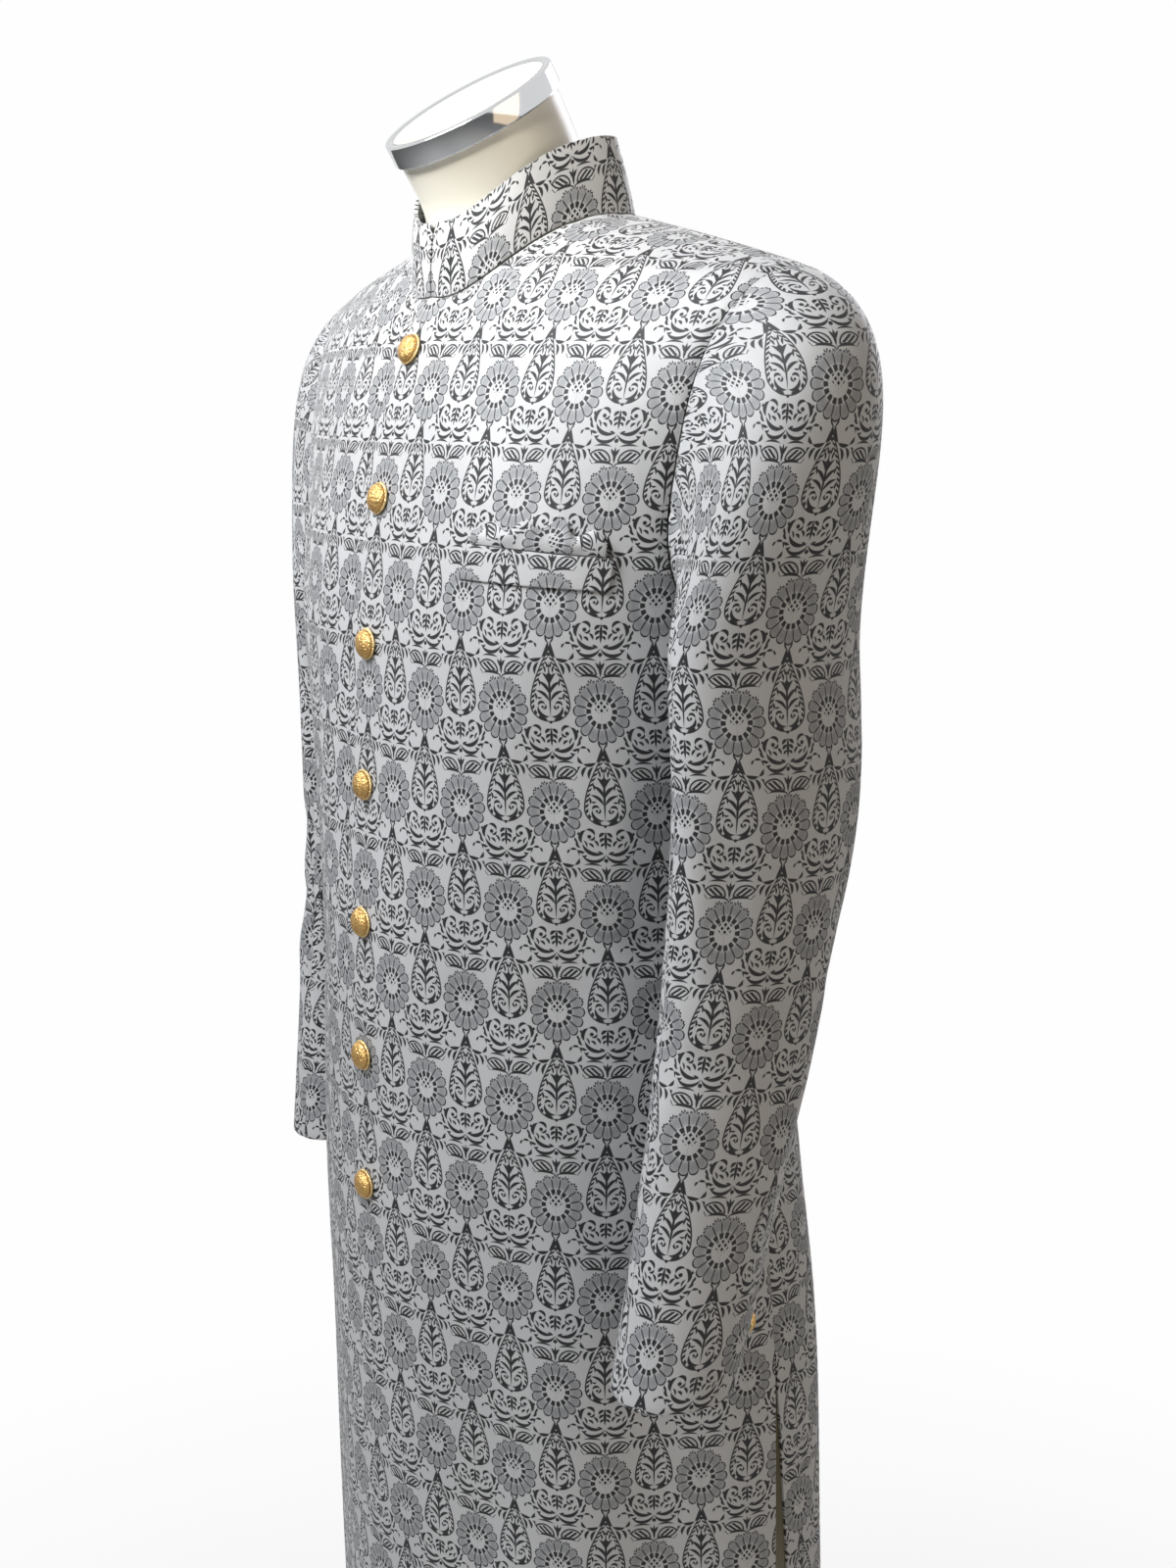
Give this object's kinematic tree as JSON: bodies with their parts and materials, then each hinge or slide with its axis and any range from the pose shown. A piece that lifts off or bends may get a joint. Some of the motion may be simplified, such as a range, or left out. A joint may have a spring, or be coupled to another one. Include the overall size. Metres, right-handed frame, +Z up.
{
  "type": "sherwani coat on a limbless dress form",
  "caption": "Long brocade coat with a stand collar, buttoned front, breast pocket and side slits, standing on a limbless dress form.",
  "frame": {"origin": "on the floor, under the middle of the stand's base", "axes": "+Z up, the coat faces -Y, and the coat's own left side is +X"},
  "size_m": [0.5494, 0.38, 1.5559],
  "materials": {
    "brocade": "silver-grey jacquard satin with charcoal flowers, drops and scrolls",
    "lining": "olive-gold satin lining",
    "gilt_button": "gilt metal with a raised filigree pattern",
    "ivory_form": "smooth ivory lacquer",
    "chrome_cap": "mirror chrome",
    "stand_steel": "brushed steel"
  },
  "bodies": {
    "root": {"front_left": "brocade", "front_right": "brocade", "back": "brocade", "sleeve_left_top": "brocade", "sleeve_left_under": "brocade", "sleeve_right_top": "brocade", "sleeve_right_under": "brocade", "collar": "brocade", "pocket_welt": "brocade", "pocket_square": "brocade", "lining_back_skirt": "lining", "button_1": "gilt_button", "button_2": "gilt_button", "button_3": "gilt_button", "button_4": "gilt_button", "button_5": "gilt_button", "button_6": "gilt_button", "button_7": "gilt_button", "cuff_button_left": "gilt_button", "cuff_button_right": "gilt_button", "form_body": "ivory_form", "form_neck_cap": "chrome_cap", "stand_pole": "stand_steel", "stand_base": "stand_steel"}
  },
  "joints": []
}
